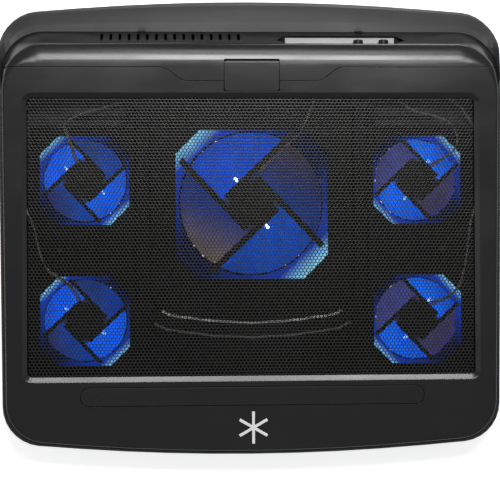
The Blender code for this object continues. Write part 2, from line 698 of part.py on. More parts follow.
def make_grille(surface):
    middle = (MESH_REAR_Y + MESH_FRONT_Y) / 2.0
    half_y = (MESH_REAR_Y - MESH_FRONT_Y) / 2.0
    sheet = prism(rounded_rectangle(0.0, middle, MESH_HALF_X + GRILLE_MARGIN, half_y + GRILLE_MARGIN,
                                    4.6 * MM), GRILLE_Z, GRILLE_Z + GRILLE_T)
    return place("mesh_grille", sheet, surface)


def grip_outline(grow):
    half_w = GRIP_HALF_W + grow
    return rounded_rectangle(0.0, GRIP_Y, GRIP_HALF_X + grow, half_w, half_w - 0.6 * MM, 5)


def make_grip_strip(surface):
    return place("grip_strip", prism(grip_outline(0.0), TOP_Z - 0.5 * MM, GRIP_TOP_Z), surface)


def make_badge(surface):
    """A plain six-armed frost star."""
    low = TOP_Z + 0.15 * MM
    bars = []
    for i in range(3):
        bm = box((-BADGE_R, -BADGE_ARM / 2.0, low), (BADGE_R, BADGE_ARM / 2.0, low + BADGE_T))
        lean = Matrix.Rotation(math.radians(30.0 + 60.0 * i), 4, "Z")
        turn = Matrix.Translation((0.0, BADGE_Y, 0.0)) @ lean
        bmesh.ops.transform(bm, matrix=turn, verts=bm.verts)
        bars.append(bm)
    badge = place("badge", bars[0], surface)
    for i, bm in enumerate(bars[1:]):
        combine(badge, guide("badge_bar_%d" % i, bm), "UNION")
    return badge


# ---------------------------------------------------------------- deck

def ridge_outline(offset):
    """U-shaped path around the centre fan, open to the rear, at a distance outside the inner edge."""
    half = RIDGE_INNER_X + offset
    radius = RIDGE_CORNER + offset
    low = RIDGE_FRONT_Y - offset
    sag = RIDGE_SAG
    steps = 5
    right = [Vector((0.0, low - sag)), Vector(((half - radius) / 2.0, low - sag * 0.75))]
    for i in range(steps + 1):
        a = math.radians(-90.0 + 90.0 * i / steps)
        right.append(Vector((half - radius + radius * math.cos(a), low + radius + radius * math.sin(a))))
    right.append(Vector((half, RIDGE_REAR_Y)))
    left = [Vector((-p.x, p.y)) for p in reversed(right[1:])]
    return left + right


def ridge(low, shoulder, top, slope):
    """Solid U with sloping sides."""
    rings = []
    for z, shrink in ((low, 0.0), (shoulder, 0.0), (top, slope)):
        inner = ridge_outline(shrink)
        outer = ridge_outline(RIDGE_W - shrink)
        rings.append([Vector((p.x, p.y, z)) for p in outer + list(reversed(inner))])
    return loft(rings)


def fan_opening(x, y, kind):
    """Square opening over a fan, with chamfered corners and a lip along its rear edge."""
    half = kind["half"] - 0.3 * MM
    rear = half - kind["lip"]
    cut = kind["chamfer"]
    outline = ((half, cut - half), (half, rear - cut), (half - cut, rear), (cut - half, rear),
               (-half, rear - cut), (-half, cut - half), (cut - half, -half), (half - cut, -half))
    return [(x + dx, y + dy) for dx, dy in outline]


def make_deck(surface):
    edge = [
        (-DECK_HALF_X, DECK_FRONT_Y), (DECK_HALF_X, DECK_FRONT_Y), (DECK_HALF_X, DECK_STEP_Y),
        (DECK_NECK_X, DECK_STEP_Y), (DECK_NECK_X, DECK_REAR_Y), (-DECK_NECK_X, DECK_REAR_Y),
        (-DECK_NECK_X, DECK_STEP_Y), (-DECK_HALF_X, DECK_STEP_Y),
    ]
    top = DECK_Z + DECK_T
    deck = place("fan_deck", prism(edge, DECK_Z, top), surface)
    whole = ridge(DECK_Z + RIDGE_ROOT, top, top + RIDGE_H, RIDGE_SLOPE)
    combine(deck, guide("deck_ridge", whole), "UNION")
    ends = ((-LIP_OUTER_X, -LIP_INNER_X), (LIP_INNER_X, LIP_OUTER_X))
    lips = [box((left, DECK_STEP_Y - LIP_FRONT, DECK_Z + RIDGE_ROOT),
                (right, DECK_STEP_Y - LIP_REAR, top + LIP_H)) for left, right in ends]
    combine(deck, guide("deck_lips", merge(lips)), "UNION")
    holes = []
    for _, x, y, kind, _ in FANS:
        holes.append(prism(fan_opening(x, y, kind), BOSS_BORE_Z, HIGH_Z))
    holes += [disc(x, y, BOSS_BORE_R, BOSS_BORE_Z, HIGH_Z, 12) for x, y in SCREWED_BOSSES]
    combine(deck, guide("deck_openings", merge(holes)), "DIFFERENCE")
    return deck


# ---------------------------------------------------------------- fans

def strut_frame(kind, k):
    """Unit normal and direction of strut k, which passes the hub at one side."""
    a = math.radians(kind["angle"] + 90.0 * k)
    normal = Vector((math.cos(a), math.sin(a), 0.0))
    along = Vector((-math.sin(a), math.cos(a), 0.0)) * kind["hand"]
    return normal, along


def make_fan_frame(name, x, y, kind, surface):
    half = kind["half"]
    frame = place(name + "_fan_frame", prism(rounded_rectangle(x, y, half, half, 4.0 * MM, 3),
                                             FRAME_Z, FRAME_TOP_Z), surface)
    bore = disc(x, y, kind["bore"], FRAME_Z - 2.0 * MM, FRAME_TOP_Z + 2.0 * MM, 36)
    combine(frame, guide(name + "_bore", bore), "DIFFERENCE")
    return frame


def make_spider(name, x, y, kind, surface):
    """Hub plate and bearing tube, held by four struts that pass it like a pinwheel."""
    spider = place(name + "_fan_spider", disc(x, y, kind["hub"], SPIDER_Z, SPIDER_TOP_Z, 24), surface)
    struts = []
    for k in range(4):
        normal, along = strut_frame(kind, k)
        half = normal * (kind["strut_w"] / 2.0)
        middle = Vector((x, y, 0.0)) + normal * kind["strut_offset"]
        ends = (middle - along * kind["strut_out"], middle + along * kind["strut_in"])
        corners = (ends[0] - half, ends[1] - half, ends[1] + half, ends[0] + half)
        low, high = SPIDER_Z + 0.25 * MM, SPIDER_TOP_Z - 0.25 * MM
        struts.append(loft([[Vector((c.x, c.y, z)) for c in corners] for z in (low, high)]))
    for k, bm in enumerate(struts):
        combine(spider, guide("%s_strut_%d" % (name, k), bm), "UNION")
    tube = disc(x, y, TUBE_R, CUP_Z + 2.2 * MM, SPIDER_Z + 1.0 * MM, 12)
    combine(spider, guide(name + "_tube", tube), "UNION")
    bore = disc(x, y, SHAFT_R + 0.3 * MM, CUP_Z, SPIDER_TOP_Z - 0.9 * MM, 8)
    combine(spider, guide(name + "_tube_bore", bore), "DIFFERENCE")
    return spider


def blade(kind, start, pitch):
    """One swept, pitched blade: a closed sheet between its hub and tip."""
    root = kind["hub"] - 2.0 * MM
    radial, chord = 2, 2
    rows = []
    for i in range(radial + 1):
        t = i / radial
        radius = blend(root, kind["tip"], t)
        sweep = -0.32 * t * t
        span = blend(0.80, 0.92, t) * pitch
        row = []
        for j in range(chord + 1):
            c = j / chord
            a = start + sweep + span * c
            z = blend(BLADE_LOW_Z, BLADE_HIGH_Z, c ** 1.15) - 0.8 * MM * math.sin(math.pi * c)
            row.append(Vector((radius * math.cos(a), radius * math.sin(a), z)))
        rows.append(row)
    bm = bmesh.new()
    faces = {}
    for side, offset in (("low", -BLADE_T / 2.0), ("high", BLADE_T / 2.0)):
        faces[side] = [[bm.verts.new(p + Vector((0.0, 0.0, offset))) for p in row] for row in rows]
    low, high = faces["low"], faces["high"]
    for i in range(radial):
        for j in range(chord):
            bm.faces.new((low[i][j], low[i][j + 1], low[i + 1][j + 1], low[i + 1][j]))
            bm.faces.new((high[i][j], high[i + 1][j], high[i + 1][j + 1], high[i][j + 1]))
    rim = [(i, 0) for i in range(radial)] + [(radial, j) for j in range(chord)]
    rim += [(i, chord) for i in range(radial, 0, -1)] + [(0, j) for j in range(chord, 0, -1)]
    for (a, b), (c, d) in zip(rim, rim[1:] + rim[:1]):
        bm.faces.new((low[a][b], low[c][d], high[c][d], high[a][b]))
    bmesh.ops.recalc_face_normals(bm, faces=bm.faces)
    return bm


def make_rotor(name, x, y, kind, surface):
    """Hub cup with its shaft and blades, turning about a vertical axis."""
    outer = kind["hub"] - 1.1 * MM
    rotor = place(name + "_fan_rotor", disc(x, y, outer, CUP_Z, CUP_TOP_Z, 20), surface, origin=(x, y, 0.0))
    pitch = 2.0 * math.pi / kind["blades"]
    blades = [blade(kind, pitch * i, pitch) for i in range(kind["blades"])]
    whole = merge(blades)
    bmesh.ops.translate(whole, verts=whole.verts, vec=(x, y, 0.0))
    combine(rotor, guide(name + "_blades", whole), "UNION")
    hollow = disc(x, y, outer - CUP_WALL, CUP_Z + 1.6 * MM, CUP_TOP_Z + 2.0 * MM, 20)
    combine(rotor, guide(name + "_cup_hollow", hollow), "DIFFERENCE")
    shaft = disc(x, y, SHAFT_R, CUP_Z + 0.5 * MM, SPIDER_Z, 8)
    combine(rotor, guide(name + "_shaft", shaft), "UNION")
    return rotor


def make_stator(name, x, y, kind, surface):
    """Wound core round the bearing tube, inside the cup, with pole teeth."""
    teeth = 4
    outer = kind["hub"] - 1.1 * MM - CUP_WALL - 0.7 * MM
    stator = place(name + "_fan_stator", disc(x, y, outer * STATOR_CORE_SHARE, STATOR_Z, STATOR_TOP_Z, 16), surface)
    poles = []
    for i in range(teeth):
        a = 2.0 * math.pi * i / teeth
        half = outer * POLE_HALF_SHARE
        bm = box((outer / 2.0, -half, STATOR_Z + POLE_INSET), (outer, half, STATOR_TOP_Z - POLE_INSET))
        turn = Matrix.Translation((x, y, 0.0)) @ Matrix.Rotation(a, 4, "Z")
        bmesh.ops.transform(bm, matrix=turn, verts=bm.verts)
        poles.append(bm)
    combine(stator, guide(name + "_poles", merge(poles)), "UNION")
    bore = disc(x, y, TUBE_R + 0.3 * MM, STATOR_Z - 2.0 * MM, STATOR_TOP_Z + 2.0 * MM, 12)
    combine(stator, guide(name + "_stator_bore", bore), "DIFFERENCE")
    return stator


def make_lamps(name, x, y, kind, lamp_struts, surface):
    for number, k in enumerate(lamp_struts, 1):
        normal, along = strut_frame(kind, k)
        middle = Vector((x, y, (SPIDER_Z + SPIDER_TOP_Z) / 2.0)) - along * 4.0 * MM
        start = kind["strut_offset"] + kind["strut_w"] / 2.0 + GAP
        body = rod(middle + normal * start, middle + normal * (start + kind["lamp_reach"]), LAMP_R, 8)
        place("%s_fan_lamp_%d" % (name, number), body, surface)


# ---------------------------------------------------------------- leads

LEADS = {
    "rear_left": ((-136.0, 49.0, 22.9), (-143.0, 62.0, 24.3), (-148.0, 71.5, 25.4), (-146.0, 79.5, 25.3),
                  (-136.0, 87.0, 21.0), (-116.0, 93.0, 17.6), (-92.0, 100.0, 16.2), (-70.0, 107.5, 15.6),
                  (-38.0, 114.0, 15.8), (-8.0, 119.5, 16.6), (20.0, 124.0, 18.0), (27.0, 130.4, 18.6)),
    "rear_right": ((141.0, 46.5, 22.9), (150.0, 52.0, 24.2), (159.0, 58.0, 25.0), (162.5, 68.0, 25.4),
                   (158.0, 79.0, 25.4), (146.0, 86.0, 23.0), (128.0, 91.0, 20.0), (112.0, 103.0, 18.6),
                   (102.0, 118.0, 18.6), (99.0, 130.4, 18.6)),
    "front_left": ((-134.6, -58.6, 22.9), (-137.0, -52.5, 24.4), (-146.0, -43.0, 25.0), (-160.0, -33.0, 25.0),
                   (-166.0, -18.0, 25.0), (-170.0, 0.0, 25.0), (-176.0, 14.0, 24.6), (-180.6, 30.0, 21.0),
                   (-181.6, 52.0, 17.0), (-181.0, 76.0, 16.0), (-172.0, 100.0, 16.0), (-150.0, 116.0, 15.8),
                   (-118.0, 122.0, 15.4), (-70.0, 123.0, 15.4), (-20.0, 125.0, 17.4), (26.0, 127.0, 21.0),
                   (36.0, 130.4, 22.0)),
    "front_right": ((140.0, -62.0, 22.9), (149.0, -59.0, 24.6), (158.0, -54.0, 25.0), (165.0, -43.0, 25.0),
                    (169.5, -22.0, 25.0), (172.0, 0.0, 25.0), (177.0, 16.0, 24.4), (181.0, 32.0, 21.0),
                    (182.0, 54.0, 17.0), (178.0, 76.0, 16.0), (164.0, 96.0, 15.8), (140.0, 108.0, 15.8),
                    (118.0, 119.0, 17.0), (112.0, 130.4, 18.6)),
    "centre": ((6.0, 40.5, 22.9), (9.5, 45.8, 22.9), (19.0, 55.0, 23.4), (28.5, 64.0, 24.4),
               (36.5, 71.0, 25.3), (42.0, 80.0, 25.4), (46.0, 90.0, 25.3), (50.0, 100.0, 25.0),
               (54.0, 110.0, 24.9), (60.0, 120.0, 21.4), (63.0, 130.4, 18.6)),
}


def smooth_route(points, spacing):
    """Evenly spaced points on a centripetal curve through the given ones."""
    ends = [points[0] * 2.0 - points[1]] + list(points) + [points[-1] * 2.0 - points[-2]]
    fine = []
    for p0, p1, p2, p3 in zip(ends, ends[1:], ends[2:], ends[3:]):
        for i in range(24):
            t = i / 24.0
            fine.append(0.5 * ((2.0 * p1) + (p2 - p0) * t + (2.0 * p0 - 5.0 * p1 + 4.0 * p2 - p3) * t ** 2
                               + (3.0 * p1 - p0 - 3.0 * p2 + p3) * t ** 3))
    fine.append(points[-1])
    lengths = [0.0]
    for a, b in zip(fine, fine[1:]):
        lengths.append(lengths[-1] + (b - a).length)
    count = max(2, round(lengths[-1] / spacing))
    even, at = [], 0
    for i in range(count + 1):
        want = lengths[-1] * i / count
        while at < len(lengths) - 2 and lengths[at + 1] < want:
            at += 1
        span = lengths[at + 1] - lengths[at]
        even.append(fine[at].lerp(fine[at + 1], (want - lengths[at]) / span if span else 0.0))
    return even


def make_lead(name, surface):
    route = smooth_route([Vector(p) * MM for p in LEADS[name]], LEAD_STEP)
    curve = bpy.data.curves.new(name + "_fan_lead", "CURVE")
    curve.dimensions = "3D"
    curve.bevel_depth = LEAD_R
    curve.bevel_resolution = 2
    curve.use_fill_caps = True
    spline = curve.splines.new("POLY")
    spline.points.add(len(route) - 1)
    for point, where in zip(spline.points, route):
        point.co = (*where, 1.0)
    curve.materials.append(surface)
    lead = bpy.data.objects.new(name + "_fan_lead", curve)
    bpy.context.scene.collection.objects.link(lead)
    return lead


# ---------------------------------------------------------------- controls and sockets

def make_controls(silver, black, board_green, steel):
    panel = box((PANEL_LEFT_X, POCKET_BACK_Y + GAP, POCKET_FLOOR_Z + GAP),
                (PANEL_RIGHT_X, POCKET_BACK_Y + PANEL_DEPTH, POCKET_FLOOR_Z + PANEL_TOP))
    place("control_panel", panel, silver)
    turns = [2.0 * math.pi * i / 20 for i in range(20)]
    for name, x in BUTTONS:
        rings = [[Vector((x + r * math.cos(a), POCKET_BACK_Y + y, BUTTON_Z - r * math.sin(a))) for a in turns]
                 for y, r in BUTTON_SECTION]
        place(name, loft(rings), black, origin=(x, POCKET_BACK_Y, BUTTON_Z))
    place("switch_board", box(*SWITCH_BOARD), board_green)
    place("usb_board", box(*USB_BOARD), board_green)
    for name, y, half_w, height, tongue in SOCKETS:
        make_socket(name, y, half_w, height, tongue, steel)


def make_socket(name, y, half_w, height, tongue, surface):
    """A metal shell open to the right, with a tongue inside."""
    front, back, wall = SOCKET_FRONT_X, SOCKET_BACK_X, SOCKET_WALL
    shell = place(name, box((back, y - half_w, SOCKET_Z), (front, y + half_w, SOCKET_Z + height)), surface)
    hollow = box((back + wall, y - half_w + wall, SOCKET_Z + wall),
                 (front + BEYOND, y + half_w - wall, SOCKET_Z + height - wall))
    combine(shell, guide(name + "_hollow", hollow), "DIFFERENCE")
    middle = SOCKET_Z + height / 2.0
    bar = box((back + wall / 2.0, y - half_w + TONGUE_MARGIN, middle - tongue),
              (front - BEYOND, y + half_w - TONGUE_MARGIN, middle + tongue))
    combine(shell, guide(name + "_tongue", bar), "UNION")
    return shell


# ---------------------------------------------------------------- feet and screws

def make_feet(surface):
    turns = [2.0 * math.pi * i / 20 for i in range(20)]
    for depth, sy in (("rear", 1), ("front", -1)):
        for hand, sx in (("left", -1), ("right", 1)):
            x, y = sx * FOOT_X, sy * FOOT_Y
            rings = [[Vector((x + r * math.cos(a), y + r * math.sin(a), z)) for a in turns]
                     for z, r in FOOT_SECTION]
            place("%s_%s_foot" % (depth, hand), loft(rings), surface)


def make_leg(name, side, surface):
    """Fold-out leg: a paddle with a round barrel and a stub pin at each end."""
    x = side * LEG_X
    low = LEG_PIN_Z - LEG_T / 2.0
    paddle = box((x - LEG_HALF_X, LEG_FRONT_Y, low), (x + LEG_HALF_X, LEG_PIN_Y, low + LEG_T))
    leg = place(name, paddle, surface, origin=(x, LEG_PIN_Y, LEG_PIN_Z))
    barrel = rod((x - LEG_HALF_X + 0.2 * MM, LEG_PIN_Y, LEG_PIN_Z),
                 (x + LEG_HALF_X - 0.2 * MM, LEG_PIN_Y, LEG_PIN_Z), LEG_T / 2.0 + 0.05 * MM, 16)
    combine(leg, guide(name + "_barrel", barrel), "UNION")
    pins = rod((x - LEG_HALF_X - 1.7 * MM, LEG_PIN_Y, LEG_PIN_Z),
               (x + LEG_HALF_X + 1.7 * MM, LEG_PIN_Y, LEG_PIN_Z), 1.35 * MM, 12)
    combine(leg, guide(name + "_pins", pins), "UNION")
    return leg


def make_screws(surface):
    seat = DECK_Z + DECK_T + GAP
    turns = [2.0 * math.pi * i / 10 for i in range(10)]
    for number, (x, y) in enumerate(SCREWED_BOSSES, 1):
        rings = [[Vector((x + r * math.cos(a), y + r * math.sin(a), seat + z)) for a in turns]
                 for z, r in SCREW_SECTION]
        place("deck_screw_%d" % number, loft(rings), surface)


# ---------------------------------------------------------------- whole pad

def build():
    clear_scene()
    surfaces = {name: finish_material(name, *finish) for name, finish in FINISHES.items()}
    lid_black, gloss_black, steel = surfaces["lid_black"], surfaces["gloss_black"], surfaces["steel"]
    make_tub(surfaces["tub_black"])
    make_deck(surfaces["deck_grey"])
    make_top_frame(lid_black)
    make_rear_housing(lid_black)
    make_latch_tab(lid_black)
    make_grille(surfaces["mesh_black"])
    make_grip_strip(surfaces["rubber"])
    make_badge(surfaces["badge_white"])
    make_controls(surfaces["silver"], gloss_black, surfaces["board_green"], steel)
    for name, x, y, kind, lamp_struts in FANS:
        make_fan_frame(name, x, y, kind, surfaces["frame_blue"])
        make_spider(name, x, y, kind, gloss_black)
        make_rotor(name, x, y, kind, surfaces["blade_blue"])
        make_stator(name, x, y, kind, surfaces["copper"])
        make_lamps(name, x, y, kind, lamp_struts, surfaces["lamp_glow"])
        make_lead(name, surfaces["lead_black"])
    make_feet(surfaces["rubber"])
    make_leg("left_leg", -1, gloss_black)
    make_leg("right_leg", 1, gloss_black)
    make_screws(steel)


build()
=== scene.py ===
"""Looks of the laptop cooling pad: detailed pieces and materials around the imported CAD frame."""

import json
import math
from collections import namedtuple

import bmesh
import bpy
from mathutils import Matrix, Vector


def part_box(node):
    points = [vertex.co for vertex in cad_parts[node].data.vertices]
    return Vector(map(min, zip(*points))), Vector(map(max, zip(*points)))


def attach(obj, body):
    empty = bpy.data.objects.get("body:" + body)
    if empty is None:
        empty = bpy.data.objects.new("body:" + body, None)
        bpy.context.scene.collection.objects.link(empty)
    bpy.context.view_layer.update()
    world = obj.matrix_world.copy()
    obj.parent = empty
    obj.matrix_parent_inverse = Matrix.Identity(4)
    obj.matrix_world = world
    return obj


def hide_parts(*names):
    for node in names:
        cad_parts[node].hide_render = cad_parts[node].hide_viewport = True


MM = 0.001
WELD = 0.002 * MM
TURN = 2.0 * math.pi

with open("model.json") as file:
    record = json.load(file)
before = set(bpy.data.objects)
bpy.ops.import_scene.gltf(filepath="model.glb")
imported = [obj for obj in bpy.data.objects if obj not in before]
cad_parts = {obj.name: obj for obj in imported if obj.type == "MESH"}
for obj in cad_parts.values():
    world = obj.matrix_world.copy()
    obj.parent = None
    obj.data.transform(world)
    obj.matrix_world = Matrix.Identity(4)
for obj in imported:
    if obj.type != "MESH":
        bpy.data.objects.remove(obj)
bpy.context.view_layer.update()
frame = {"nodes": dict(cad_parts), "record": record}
NODES = frame["nodes"]
BODY_OF = {n: b for b, names in frame["record"]["behaviour"]["bodies"].items() for n in names}


# ---------------------------------------------------------------- node helpers

class Surface:
    """A Principled material and short calls for the nodes that feed it."""

    def __init__(self, name, colour, roughness, metallic=0.0):
        self.material = bpy.data.materials.new(name)
        self.material.use_nodes = True
        self.tree = self.material.node_tree
        self.shader = self.tree.nodes["Principled BSDF"]
        self.set("Base Color", (*colour, 1.0))
        self.set("Roughness", roughness)
        self.set("Metallic", metallic)
        self.place = self.tree.nodes.new("ShaderNodeTexCoord").outputs["Object"]

    def set(self, socket, value):
        self.shader.inputs[socket].default_value = value

    def feed(self, output, socket):
        self.tree.links.new(output, self.shader.inputs[socket])

    def node(self, kind, **sockets):
        made = self.tree.nodes.new(kind)
        for key, value in sockets.items():
            made.inputs[key.replace("_", " ")].default_value = value
        return made

    def join(self, output, node, socket):
        self.tree.links.new(output, node.inputs[socket])

    def noise(self, scale, detail=2.0, rough=0.5, stretch=None):
        made = self.node("ShaderNodeTexNoise", Scale=scale, Detail=detail, Roughness=rough)
        place = self.place
        if stretch:
            mapped = self.node("ShaderNodeMapping", Scale=stretch)
            self.join(place, mapped, "Vector")
            place = mapped.outputs["Vector"]
        self.join(place, made, "Vector")
        return made.outputs["Fac"]

    def spread(self, output, low, high, from_low=0.3, from_high=0.7):
        """Maps the range from_low to from_high onto low to high. The preset range is that of a noise."""
        made = self.node("ShaderNodeMapRange", From_Min=from_low, From_Max=from_high, To_Min=low, To_Max=high)
        self.join(output, made, "Value")
        return made.outputs["Result"]

    def mix(self, factor, first, second, blend="MIX"):
        """Mixes two colours. Each of the three is either a plain value or another node's output."""
        made = self.tree.nodes.new("ShaderNodeMix")
        made.data_type = "RGBA"
        made.blend_type = blend
        for socket, value in (("Factor", factor), ("A", first), ("B", second)):
            if isinstance(value, tuple):
                made.inputs[socket].default_value = (*value, 1.0)
            elif isinstance(value, float):
                made.inputs[socket].default_value = value
            else:
                self.join(value, made, socket)
        return made.outputs["Result"]

    def maths(self, operation, *values):
        made = self.tree.nodes.new("ShaderNodeMath")
        made.operation = operation
        for i, value in enumerate(values):
            if isinstance(value, float):
                made.inputs[i].default_value = value
            else:
                self.join(value, made, i)
        return made.outputs[0]

    def grain(self, scale, depth, strength, rough=0.5):
        """Feeds a fine noise to the normal, as a bump of the given depth."""
        made = self.node("ShaderNodeBump", Strength=strength, Distance=depth)
        self.join(self.noise(scale, 2.0, rough), made, "Height")
        self.feed(made.outputs["Normal"], "Normal")


def scaled(colour, factor):
    return tuple(min(1.0, c * factor) for c in colour)


def moulded(name, colour, roughness, grain, depth, vary=0.12, specular=0.5, metallic=0.0):
    """A solid material with a fine grain (its depth is in mm), faint mottling and handling marks."""
    s = Surface(name, colour, roughness, metallic)
    s.set("Specular IOR Level", specular)
    mottle = s.spread(s.noise(28.0, 3.0, 0.55), 0.0, 1.0)
    s.feed(s.mix(mottle, scaled(colour, 1.0 - vary), scaled(colour, 1.0 + vary)), "Base Color")
    rub = s.noise(9.0, 4.0, 0.6, (1.0, 2.2, 1.0))
    s.feed(s.spread(rub, roughness - 0.05, roughness + 0.06), "Roughness")
    s.grain(grain, depth * MM, 0.55, 0.6)
    return s


def duller_band(s, gloss, dull, start, end):
    """The coarser, duller texture at the foot of the rear slope: it grows between two places along Y."""
    split = s.tree.nodes.new("ShaderNodeSeparateXYZ")
    s.join(s.place, split, "Vector")
    s.feed(s.spread(split.outputs["Y"], gloss, dull, start, end), "Specular IOR Level")


# ---------------------------------------------------------------- piece helpers

def place_piece(name, mesh, material, node):
    """An object that stands for a CAD node and moves with its body."""
    made = bpy.data.objects.new(name, mesh)
    bpy.context.scene.collection.objects.link(made)
    mesh.materials.append(material)
    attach(made, BODY_OF[node])
    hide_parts(node)
    return made


def add_piece(name, bm, material, node, sharp=32.0):
    """A piece made from a bmesh, shaded smoothly except at edges sharper than the given angle."""
    mesh = bpy.data.meshes.new(name)
    bm.to_mesh(mesh)
    bm.free()
    mesh.shade_smooth()
    mesh.set_sharp_from_angle(angle=math.radians(sharp))
    return place_piece(name, mesh, material, node)


def node_shape(node):
    """The CAD node's own shape, with its corners shared and its flat areas made whole."""
    bm = bmesh.new()
    bm.from_mesh(NODES[node].data)
    bmesh.ops.remove_doubles(bm, verts=bm.verts, dist=WELD)
    bmesh.ops.dissolve_limit(bm, angle_limit=math.radians(0.15), verts=bm.verts, edges=bm.edges)
    return bm


def round_edges(made, width, sharp):
    """Small round-overs on the edges that are sharper than the given angle."""
    rounded = made.modifiers.new("Rounded", "BEVEL")
    rounded.width = width
    rounded.segments = 2
    rounded.limit_method = "ANGLE"
    rounded.angle_limit = math.radians(sharp)


def smooth_copy(node, material, sharp=30.0, edge=0.0):
    """The CAD node's own shape, shaded smoothly, with its corners rounded by the given width in mm."""
    made = add_piece(node + "_skin", node_shape(node), material, node, sharp)
    if edge:
        round_edges(made, edge * MM, sharp)
    weigh = made.modifiers.new("Weighted", "WEIGHTED_NORMAL")
    weigh.keep_sharp = True
    weigh.weight = 100
    return made


# The ridge's long slopes, which get a painted highlight, are the deck's faces before this Y whose normals lean
# this far up and along Y
RIDGE_BEFORE_Y = -60.0 * MM
RIDGE_UP = (0.2, 0.95)
RIDGE_LEAN_Y = 0.65


def paint_ridge_highlight(deck, material):
    """Paints a highlight on the two long slopes of the deck's ridge, before the centre fan, as a second, paler
    material.
    """
    deck.data.materials.append(material)
    for face in deck.data.polygons:
        sloping = RIDGE_UP[0] < face.normal.z < RIDGE_UP[1] and abs(face.normal.y) > RIDGE_LEAN_Y
        if sloping and face.center.y < RIDGE_BEFORE_Y:
            face.material_index = 1


# ---------------------------------------------------------------- grip strip

KNURL_CELL = 0.68 * MM
KNURL_H = 0.28 * MM
KNURL_MARGIN = 0.9 * MM
BODY_LOWERED = 0.22 * MM


def inside_capsule(x, y, half_x, half_y):
    """Whether a point lies inside a strip with half-round ends."""
    over = max(0.0, abs(x) - (half_x - half_y))
    return over * over + y * y < half_y * half_y


def make_grip(material):
    """The strip's body, lowered to just above the valleys of the knurling, and a field of small pyramids."""
    low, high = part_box("grip_strip")
    middle = (low + high) / 2.0
    half_x, half_y = (high.x - low.x) / 2.0 - KNURL_MARGIN, (high.y - low.y) / 2.0 - KNURL_MARGIN
    body = node_shape("grip_strip")
    for v in body.verts:
        if v.co.z > middle.z:
            v.co.z -= BODY_LOWERED
    base = add_piece("grip_strip_base", body, material, "grip_strip", 30.0)
    round_edges(base, 0.35 * MM, 30.0)
    bm = bmesh.new()
    columns, rows = int(half_x / KNURL_CELL), int(half_y / KNURL_CELL)
    grid = {}
    for i in range(-columns, columns + 1):
        for j in range(-rows, rows + 1):
            x, y = i * KNURL_CELL, j * KNURL_CELL
            if inside_capsule(x, y, half_x, half_y):
                z = high.z - (i + j) % 2 * KNURL_H
                grid[i, j] = bm.verts.new((middle.x + x, middle.y + y, z))
    for (i, j), a in grid.items():
        b, c, d = grid.get((i + 1, j)), grid.get((i + 1, j + 1)), grid.get((i, j + 1))
        if None not in (b, c, d):
            for triangle in ((a, b, c), (a, c, d)) if (i + j) % 2 else ((a, b, d), (b, c, d)):
                bm.faces.new(triangle)
    add_piece("grip_strip_knurl", bm, material, "grip_strip", 5.0)


# ---------------------------------------------------------------- fan leads

WIRE_R = 0.5 * MM
WIRE_SIDES = 8
WIRE_TWIST = 22.0 * MM
TWIST_R = 0.52 * MM
RIBBON_STEP = 1.25 * MM
RIBBON_SHARE = 0.16
CAP_REACH = 2.6 * MM


def lead_line(node):
    """Centreline of a CAD lead: the middles of its full rings of corners, walked from the cap at the fan."""
    bm = bmesh.new()
    bm.from_mesh(NODES[node].data)
    bmesh.ops.remove_doubles(bm, verts=bm.verts, dist=WELD)
    caps = [f for f in bm.faces if max(e.calc_length() for e in f.edges) < CAP_REACH]
    first = max((f.calc_center_median() for f in caps), key=lambda place: place.z)
    ring = {v for f in caps for v in f.verts if (v.co - first).length < CAP_REACH}
    corners = len(ring)
    seen, line = set(ring), []
    while ring:
        middle = sum((v.co for v in ring), Vector()) / len(ring)
        if len(ring) == corners and max((v.co - middle).length for v in ring) < CAP_REACH:
            line.append(middle)
        ring = {e.other_vert(v) for v in ring for e in v.link_edges} - seen
        seen |= ring
    bm.free()
    return line


def close_tube(bm, rings):
    """Joins rings of corners, each to the next, and closes both ends."""
    for low, high in zip(rings, rings[1:]):
        for i in range(len(low)):
            j = (i + 1) % len(low)
            bm.faces.new((low[i], low[j], high[j], high[i]))
    bm.faces.new(list(reversed(rings[0])))
    bm.faces.new(rings[-1])


def make_wires(name, materials):
    """Three insulated wires, side by side over the fan and twisted together beyond it."""
    node = name + "_fan_lead"
    line = lead_line(node)
    lengths = [0.0]
    for a, b in zip(line, line[1:]):
        lengths.append(lengths[-1] + (b - a).length)
    for number, material in enumerate(materials):
        bm = bmesh.new()
        rings = []
        for k, point in enumerate(line):
            along = (line[min(k + 1, len(line) - 1)] - line[max(k - 1, 0)]).normalized()
            side = along.cross(Vector((0.0, 0.0, 1.0))).normalized()
            up = side.cross(along)
            part = min(1.0, lengths[k] / (RIBBON_SHARE * lengths[-1]))
            flat = 1.0 - part * part * (3.0 - 2.0 * part)
            turn = TURN * (number / 3.0 + lengths[k] / WIRE_TWIST)
            twisted = side * (TWIST_R * math.cos(turn)) + up * (TWIST_R * math.sin(turn))
            ribbon = side * ((number - 1) * RIBBON_STEP)
            middle = point + twisted.lerp(ribbon, flat)
            rings.append([
                bm.verts.new(middle + side * (WIRE_R * math.cos(t)) + up * (WIRE_R * math.sin(t)))
                for t in (TURN * i / WIRE_SIDES for i in range(WIRE_SIDES))
            ])
        close_tube(bm, rings)
        add_piece("%s_wire_%d" % (node, number + 1), bm, material, node, 60.0)


# ---------------------------------------------------------------- honeycomb grille

HEX_PITCH = 2.87 * MM
HEX_ROW = 2.41 * MM
HEX_RADIUS = 1.26 * MM
HEX_SLOPE = 0.12 * MM
HEX_TURNS = [math.radians(30.0 + 60.0 * k) for k in range(6)]


